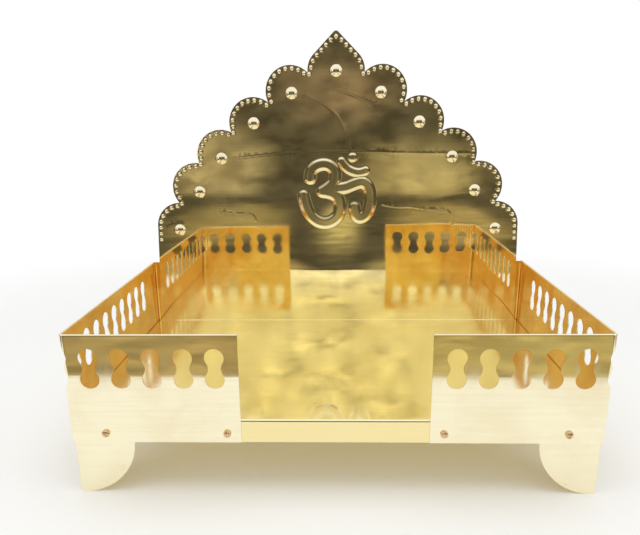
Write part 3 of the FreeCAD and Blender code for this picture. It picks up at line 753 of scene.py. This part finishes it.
def endInGlow(tree, values):
    glow = addNode(tree, "ShaderNodeEmission", values)
    addNode(tree, "ShaderNodeOutputMaterial", {"Surface": glow[0]})


def makeWorld():
    world = bpy.data.worlds.new("studio")
    bpy.context.scene.world = world
    world.use_nodes = True
    tree = world.node_tree
    background = tree.nodes["Background"]
    background.inputs["Color"].default_value = (1, 1, 1, 1)
    strength = mapped(cameraOrMirror(tree), 0.0, 1.0, studio["worldFill"], 1.0, smooth=False)
    link(strength, background.inputs["Strength"])


def makeFloor():
    half = studio["floorSize"] / 2
    floor = meshObject("floor", [(-half, -half, 0), (half, -half, 0), (half, half, 0), (-half, half, 0)],
                       [(0, 1, 2, 3)])
    paint, tree = newPaint("paleFloor")
    shader = tree.nodes["Principled BSDF"]
    for socket, key in (("Base Color", "floorColour"), ("Roughness", "floorRoughness"),
                        ("Specular IOR Level", "floorShine")):
        shader.inputs[socket].default_value = studio[key]
    reach = vectorMaths("LENGTH", addNode(tree, "ShaderNodeTexCoord")["Object"], output="Value")
    share = times(cameraOrMirror(tree), mapped(reach, *studio["floorFade"]))
    white = addNode(tree, "ShaderNodeEmission", {"Color": (1, 1, 1, 1)})
    mixed = addNode(tree, "ShaderNodeMixShader", {0: share, 1: shader.outputs[0], 2: white[0]})
    link(mixed[0], tree.nodes["Material Output"].inputs["Surface"])
    floor.data.materials.append(paint)
    return floor


def makeCard():
    half, near, far, lift = (studio[key] for key in ("cardHalfWidth", "cardEdge", "cardWall", "cardLift"))
    card, tree = glowingCard("card", [
        (-half, near, lift), (half, near, lift), (half, far, lift), (-half, far, lift),
        (half, far, studio["cardHeight"]), (-half, far, studio["cardHeight"])],
        [(3, 2, 1, 0), (5, 4, 2, 3)])
    axes = axesOf(addNode(tree, "ShaderNodeTexCoord")["Object"])
    along = maths("SUBTRACT", axes["Z"], axes["Y"])
    place = addNode(tree, "ShaderNodeCombineXYZ", {"X": axes["X"], "Y": along})["Vector"]
    spot = softSpotTree()
    place = useGroup(tree, wobbleTree(), {
        "Place": place, **{name: studio["wobble" + name] for name in ("Scale", "Amount", "Detail")}})["Place"]
    tones = []
    for tone, spots in ((studio["cardTone"], cardSpots), (studio["deepTone"], deepSpots)):
        for across, reach, halfAcross, halfReach, softness, *colour in spots:
            mask = useGroup(tree, spot, {
                "Place": place, "Centre": (across, reach, 0), "Half Size": (halfAcross, halfReach, 1),
                "Softness": softness})["Mask"]
            tone = mixColour(tree, mask, tone, colour)
        tones.append(tone)
    depth = addNode(tree, "ShaderNodeLightPath")["Ray Depth"]
    tone = mixColour(tree, mapped(depth, *studio["deepDepths"], smooth=False), *tones)
    mottle = noise(vectorMaths("MULTIPLY", place, studio["mottleScale"]), Detail=studio["mottleDetail"])[0]
    endInGlow(tree, {"Color": tone, "Strength": mapped(mottle, *studio["mottleRange"])})
    return card


def makeSurround():
    # Dim cards at the sides and behind, which give the outer faces something to mirror.
    nearX, nearY = studio["surroundNear"]
    far, front, top, lift = (studio[key] for key in ("surroundFar", "cardEdge", "surroundHeight", "cardLift"))
    flat = [(-far, front), (-nearX, front), (-nearX, nearY), (nearX, nearY), (nearX, front), (far, front),
            (far, far), (-far, far)]
    surround, tree = glowingCard("surround", [(x, y, lift) for x, y in flat] + [
        (-far, front, top), (far, front, top), (far, far, top), (-far, far, top)],
        [(0, 1, 2, 7), (2, 3, 6, 7), (3, 4, 5, 6), (0, 7, 11, 8), (7, 6, 10, 11), (6, 5, 9, 10)])
    cloud = noise(addNode(tree, "ShaderNodeTexCoord")["Object"], **studio["surroundNoise"])[0]
    tone = mixColour(tree, mapped(cloud, *studio["surroundRange"]), *studio["surroundTones"])
    endInGlow(tree, {"Color": tone})
    return surround


def makeLamps():
    for name, (place, size, watts) in studio["lamps"].items():
        light = bpy.data.lights.new(name, "AREA")
        light.shape = "SQUARE"
        light.size = size
        light.energy = watts
        lamp = linkObject(name, light)
        lamp.location = place
        aim = Vector(studio["lampAim"]) - Vector(place)
        lamp.rotation_euler = aim.to_track_quat("-Z", "Y").to_euler()
        lamp.visible_glossy = False


# Camera: where the photograph was taken from, in the throne's own frame
view = {
    "place": (0.00313, -0.56207, 0.26035),
    "focalLength": 674.0,          # in pixels of the photograph
    "pictureWidth": 640,
    "pictureHeight": 535,
    "axisRow": 335.0,              # row that the lens axis passes through
    "pitch": 17.66,
    "yaw": 1.75,
    "roll": -0.58,
    "sensorWidth": 36.0,
    "clip": (0.01, 50.0),
}


def makeCamera():
    data = bpy.data.cameras.new("photographView")
    data.sensor_width = view["sensorWidth"]
    data.lens = view["focalLength"] / view["pictureWidth"] * data.sensor_width
    data.shift_y = (view["axisRow"] - view["pictureHeight"] / 2) / view["pictureWidth"]
    data.clip_start, data.clip_end = view["clip"]
    pitch, yaw, roll = (math.radians(view[key]) for key in ("pitch", "yaw", "roll"))
    level = Vector((math.cos(yaw), math.sin(yaw), 0))
    ahead = Vector((-math.sin(yaw) * math.cos(pitch), math.cos(yaw) * math.cos(pitch), -math.sin(pitch)))
    upright = level.cross(ahead)
    right = level * math.cos(roll) + upright * math.sin(roll)
    above = upright * math.cos(roll) - level * math.sin(roll)
    turn = Matrix((right, above, -ahead)).transposed().to_4x4()
    camera = linkObject("photographView", data)
    camera.matrix_world = Matrix.Translation(view["place"]) @ turn
    bpy.context.scene.camera = camera


# Brass finishes. Lengths in metres; grain is how fast the brush marks change along each axis.
smallBrass = {
    "deepGlow": (0.20, 0.14, 0.07), "grain": (900, 900, 900), "grainHeight": 0.004 * mm, "waveSize": 0.004,
    "waveHeight": 0.03 * mm, "scratches": 0.3, "specks": 0.0}
finishes = {
    "fence": {
        # The paler outer tone is painted light, and the darker inner tone of the long sides is painted shade.
        "colour": (0.95, 0.77, 0.38), "outside": (0.98, 0.91, 0.67), "paintedShadeInside": (0.72, 0.46, 0.17),
        "stain": (0.75, 0.50, 0.165), "innerStain": 0.65, "deepGlow": (0.82, 0.60, 0.26),
        "cutRoughness": 0.45,
        "stainSize": 0.035, "stainShare": 0.2, "roughness": (0.03, 0.12), "hazeSize": 0.03,
        "grain": (14, 14, 500), "grainHeight": 0.004 * mm, "waveSize": 0.055, "waveHeight": 0.22 * mm,
        "scratches": 0.15, "specks": 0.5, "seed": 1.0},
    "seat": {
        "colour": (0.98, 0.92, 0.67), "skirt": (0.955, 0.82, 0.43), "stain": (0.92, 0.80, 0.44),
        "deepGlow": (0.95, 0.80, 0.46), "edgeHaze": 0.09,
        "stainSize": 0.06, "stainShare": 0.35, "roughness": (0.02, 0.11), "hazeSize": 0.045,
        "grain": (10, 420, 420), "grainHeight": 0.007 * mm, "waveSize": 0.085, "waveHeight": 0.16 * mm,
        "scratches": 0.3, "specks": 0.1, "seed": 2.0},
    "panel": {
        "colour": (0.965, 0.896, 0.665), "stain": (0.80, 0.71, 0.46), "deepGlow": (0.95, 0.80, 0.46),
        "signHaze": 0.09,
        "stainSize": 0.045, "stainShare": 0.45, "roughness": (0.02, 0.075), "hazeSize": 0.05,
        "grain": (12, 12, 420), "grainHeight": 0.004 * mm, "waveSize": 0.035, "waveHeight": 0.10 * mm,
        "scratches": 0.5, "specks": 0.1, "seed": 3.0},
    "foot": {
        "colour": (0.985, 0.92, 0.69), "stain": (0.90, 0.79, 0.50), "deepGlow": (0.86, 0.72, 0.42),
        "stainSize": 0.03, "stainShare": 0.25, "roughness": (0.14, 0.32), "hazeSize": 0.02,
        "grain": (20, 20, 260), "grainHeight": 0.006 * mm, "waveSize": 0.03, "waveHeight": 0.1 * mm,
        "scratches": 0.2, "specks": 1.0, "seed": 4.0},
    "screw": {
        **smallBrass, "colour": (0.80, 0.60, 0.36), "stain": (0.45, 0.28, 0.15), "stainSize": 0.003,
        "stainShare": 0.6, "roughness": (0.18, 0.38), "hazeSize": 0.002, "seed": 5.0},
    "nut": {
        **smallBrass, "colour": (0.86, 0.70, 0.38), "stain": (0.55, 0.40, 0.20), "stainSize": 0.004,
        "stainShare": 0.5, "roughness": (0.22, 0.42), "hazeSize": 0.003, "seed": 6.0},
}
# What the finishes have in common. A range is that of a noise, from no mark to a full one.
marks = {
    "cloudNoise": {"Detail": 4.0, "Roughness": 0.55, "Distortion": 0.3},
    "cloudRange": (0.40, 0.64),
    "waveNoise": {"Roughness": 0.3},
    "grainNoise": {"Detail": 3.0, "Roughness": 0.6},
    "grainRange": (0.42, 0.66),
    "grainStain": 0.12,            # how far the grain takes the tone of the stains
    "grainDull": 0.5,              # and how far it dulls
    "hazeSeed": 9,                 # added to a finish's seed
    "hairLines": (((1, 1, 5), 14.0, 0.0035), ((4, 4, 1), 11.0, 0.0025)),   # stretch, scale, half width
    "breakScale": 45.0,
    "breakRange": (0.5, 0.62),
    "speckSpacing": 0.016,
    "speckRadius": 0.0011,
    "speckChance": 0.55,           # of the cells, the share without a speck
    "speckCore": 0.4,              # share of its radius that is full
    "speckShare": 0.8,
    "speckTone": (0.42, 0.28, 0.14),
    "sideFacing": (0.3, 0.7),      # how squarely a face looks sideways
    "outwards": (0.0, 0.001),
    "skirtLevels": (0.0575, 0.0565),
    "signRise": 1.0 * mm,
    "edgeReach": (0.058, 0.07),    # either side of the seat's middle
    "cutWalls": (("X", 0.186), ("Y", 0.1225)),   # the fences' walls lie beyond these
    "cutLevel": 0.097,             # of the row of piercings
    "cutReach": 0.0155,
    "cutFacing": (0.5, 0.2),
    "glowDepths": (3.0, 4.0),      # numbers of reflections over which the glow takes over
}


def cloudTree():
    # Soft patches of a given size.
    tree, given, out = newTree("clouds", "Shader", {
        "Place": "Vector", "Size": "Float", "Seed": "Float"}, {"Mask": "Float"})
    cloud = noise(given["Place"], maths("DIVIDE", 1.0, given["Size"]), given["Seed"], **marks["cloudNoise"])[0]
    link(mapped(cloud, *marks["cloudRange"]), out["Mask"])
    return tree


def surfaceTree():
    # The slow waves of a thin sheet and the fine marks of its brushing, as a normal and as a mask.
    tree, given, out = newTree("sheetSurface", "Shader", {
        "Place": "Vector", "Wave Size": "Float", "Wave Height": "Float", "Grain": "Vector",
        "Grain Height": "Float", "Seed": "Float"}, {"Normal": "Vector", "Grain Mask": "Float"})
    scale = maths("DIVIDE", 1.0, given["Wave Size"])
    wave = noise(given["Place"], scale, given["Seed"], **marks["waveNoise"])[0]
    waved = addNode(tree, "ShaderNodeBump", {"Strength": 1.0, "Distance": given["Wave Height"], "Height": wave})
    drawn = vectorMaths("MULTIPLY", given["Place"], given["Grain"])
    grain = noise(drawn, seed=given["Seed"], **marks["grainNoise"])[0]
    brushed = addNode(tree, "ShaderNodeBump", {
        "Strength": 1.0, "Distance": given["Grain Height"], "Height": grain, "Normal": waved["Normal"]})
    link(brushed["Normal"], out["Normal"])
    link(mapped(grain, *marks["grainRange"]), out["Grain Mask"])
    return tree


def scratchTree():
    # Hair lines: the level lines of two stretched noises, broken into lengths.
    tree, given, out = newTree("hairScratches", "Shader", {
        "Place": "Vector", "Seed": "Float"}, {"Mask": "Float"})
    masks = []
    for stretch, scale, width in marks["hairLines"]:
        level = noise(vectorMaths("MULTIPLY", given["Place"], stretch), scale, seed=given["Seed"])[0]
        masks.append(mapped(maths("ABSOLUTE", maths("SUBTRACT", level, 0.5)), width, 0.0))
    breaks = noise(given["Place"], marks["breakScale"], seed=given["Seed"])[0]
    kept = mapped(breaks, *marks["breakRange"])
    link(times(larger(*masks), kept), out["Mask"])
    return tree


def speckTree():
    # A few small dark specks at random places.
    tree, given, out = newTree("specks", "Shader", {
        "Place": "Vector", "Spacing": "Float", "Radius": "Float", "Seed": "Float"}, {"Mask": "Float"})
    cells = addNode(tree, "ShaderNodeTexVoronoi", {
        "Vector": given["Place"], "W": given["Seed"], "Scale": maths("DIVIDE", 1.0, given["Spacing"])},
        voronoi_dimensions="4D")
    far = times(cells["Distance"], given["Spacing"])
    chance = addNode(tree, "ShaderNodeSeparateColor", {0: cells["Color"]})[0]
    radius = times(given["Radius"], mapped(chance, marks["speckChance"], 1.0))
    link(mapped(far, radius, times(radius, marks["speckCore"])), out["Mask"])
    return tree


shared = {"clouds": cloudTree(), "surface": surfaceTree(), "scratches": scratchTree(), "specks": speckTree()}


def paintBrass(kind):
    look = finishes[kind]
    paint, tree = newPaint(kind + "Brass")
    shader = tree.nodes["Principled BSDF"]
    shader.inputs["Metallic"].default_value = 1.0
    coordinates = addNode(tree, "ShaderNodeTexCoord")
    place, seed = coordinates["Object"], look["seed"]
    spot, facing = axesOf(place), axesOf(coordinates["Normal"])

    def group(name, seed=seed, **values):
        return useGroup(tree, shared[name], {
            "Place": place, "Seed": seed, **{titled(key): value for key, value in values.items()}})

    sheet = {key: look[key] for key in ("waveSize", "waveHeight", "grain", "grainHeight")}
    surface = group("surface", **sheet)
    stains = group("clouds", size=look["stainSize"])["Mask"]
    haze = group("clouds", seed + marks["hazeSeed"], size=look["hazeSize"])["Mask"]
    scratches = group("scratches")["Mask"]
    specks = group("specks", spacing=marks["speckSpacing"], radius=marks["speckRadius"])["Mask"]

    colour, stainShare = look["colour"], look["stainShare"]
    if "outside" in look:
        # Painted light: the outer faces are painted paler, as if lit more brightly, and are less stained
        # than the inner ones; the inner faces of the long sides are painted darker and more orange, as painted
        # shade.
        flat = vectorMaths("MULTIPLY", place, (1, 1, 0))
        outwards = vectorMaths("DOT_PRODUCT", coordinates["Normal"], flat, output="Value")
        sideways = mapped(maths("ABSOLUTE", facing["X"]), *marks["sideFacing"])
        colour = mixColour(tree, sideways, colour, look["paintedShadeInside"])
        colour = mixColour(tree, mapped(outwards, *marks["outwards"]), colour, look["outside"])
        stainShare = mapped(outwards, *marks["outwards"], look["innerStain"], stainShare)
    if "skirt" in look:
        colour = mixColour(tree, mapped(spot["Z"], *marks["skirtLevels"]), colour, look["skirt"])
    stain = mixColour(tree, 1.0, colour, [deep / base for deep, base in zip(look["stain"], look["colour"])],
                      blend="MULTIPLY")
    for mask, share, tone in (
            (stains, stainShare, stain), (surface["Grain Mask"], marks["grainStain"], stain),
            (specks, marks["speckShare"] * look["specks"], marks["speckTone"])):
        colour = mixColour(tree, times(mask, share), colour, tone)
    link(colour, shader.inputs["Base Color"])

    low, high = look["roughness"]
    dull = larger(haze, times(scratches, look["scratches"]))
    dull = larger(dull, times(surface["Grain Mask"], marks["grainDull"]))
    roughness = mapped(dull, 0.0, 1.0, low, high, smooth=False)
    if "signHaze" in look:
        # The raised sign is duller than the sheet round it.
        raised = addNode(tree, "ShaderNodeAttribute", attribute_name="signRise")["Fac"]
        roughness = maths("ADD", roughness, mapped(raised, 0.0, marks["signRise"], 0.0, look["signHaze"]))
    if "cutRoughness" in look:
        # The punched edges of the piercings are duller than the sheet.
        squares = []
        for axis, wall in marks["cutWalls"]:
            outer = maths("GREATER_THAN", maths("ABSOLUTE", spot[axis]), wall)
            share = times(outer, facing[axis])
            squares.append(times(share, share))
        level = maths("ABSOLUTE", maths("SUBTRACT", spot["Z"], marks["cutLevel"]))
        cut = times(mapped(maths("ADD", *squares), *marks["cutFacing"]),
                    maths("LESS_THAN", level, marks["cutReach"]))
        roughness = larger(roughness, times(cut, look["cutRoughness"]))
    if "edgeHaze" in look:
        # The seat is duller beside and behind the front panels than in its middle.
        edges = mapped(maths("ABSOLUTE", spot["X"]), *marks["edgeReach"], 0.0, look["edgeHaze"])
        roughness = maths("ADD", roughness, edges)
    link(roughness, shader.inputs["Roughness"])
    link(surface["Normal"], shader.inputs["Normal"])

    # After several reflections a plain glow stands in for all the further ones.
    depth = addNode(tree, "ShaderNodeLightPath")["Ray Depth"]
    glow = addNode(tree, "ShaderNodeEmission", {"Color": (*look["deepGlow"], 1)})
    ended = addNode(tree, "ShaderNodeMixShader", {
        0: mapped(depth, *marks["glowDepths"], smooth=False), 1: shader.outputs[0], 2: glow[0]})
    link(ended[0], tree.nodes["Material Output"].inputs["Surface"])
    return paint


bpy.context.scene.view_settings.view_transform = "Standard"
makeWorld()
cards = [makeCard(), makeSurround()]
for card in cards:
    for switch in ("visible_camera", "visible_diffuse", "visible_shadow"):
        setattr(card, switch, False)
makeFloor()
makeLamps()
makeCamera()
print("studio, lamps and camera made")

brass = {kind: paintBrass(kind) for kind in finishes}
finishOf = {"fence": "fence", "tray": "seat", "panel": "panel", "foot": "foot", "screws": "screw",
            "nuts": "nut"}
for name, node in nodes.items():
    kind = next(finishOf[word] for word in finishOf if word in name)
    node.data.materials.clear()
    node.data.materials.append(brass[kind])
print("finishes made:", ", ".join(brass))

makeBackPanel(brass["panel"])
seats = fastenerSeats()
screws = makeFasteners("screws", makeScrewMaster(), [
    (place, facing) for place, facing, _ in seats], brass["screw"])
nuts = makeFasteners("nuts", makeNutMaster(), [
    (place - facing * stack, facing) for place, facing, stack in seats], brass["nut"])
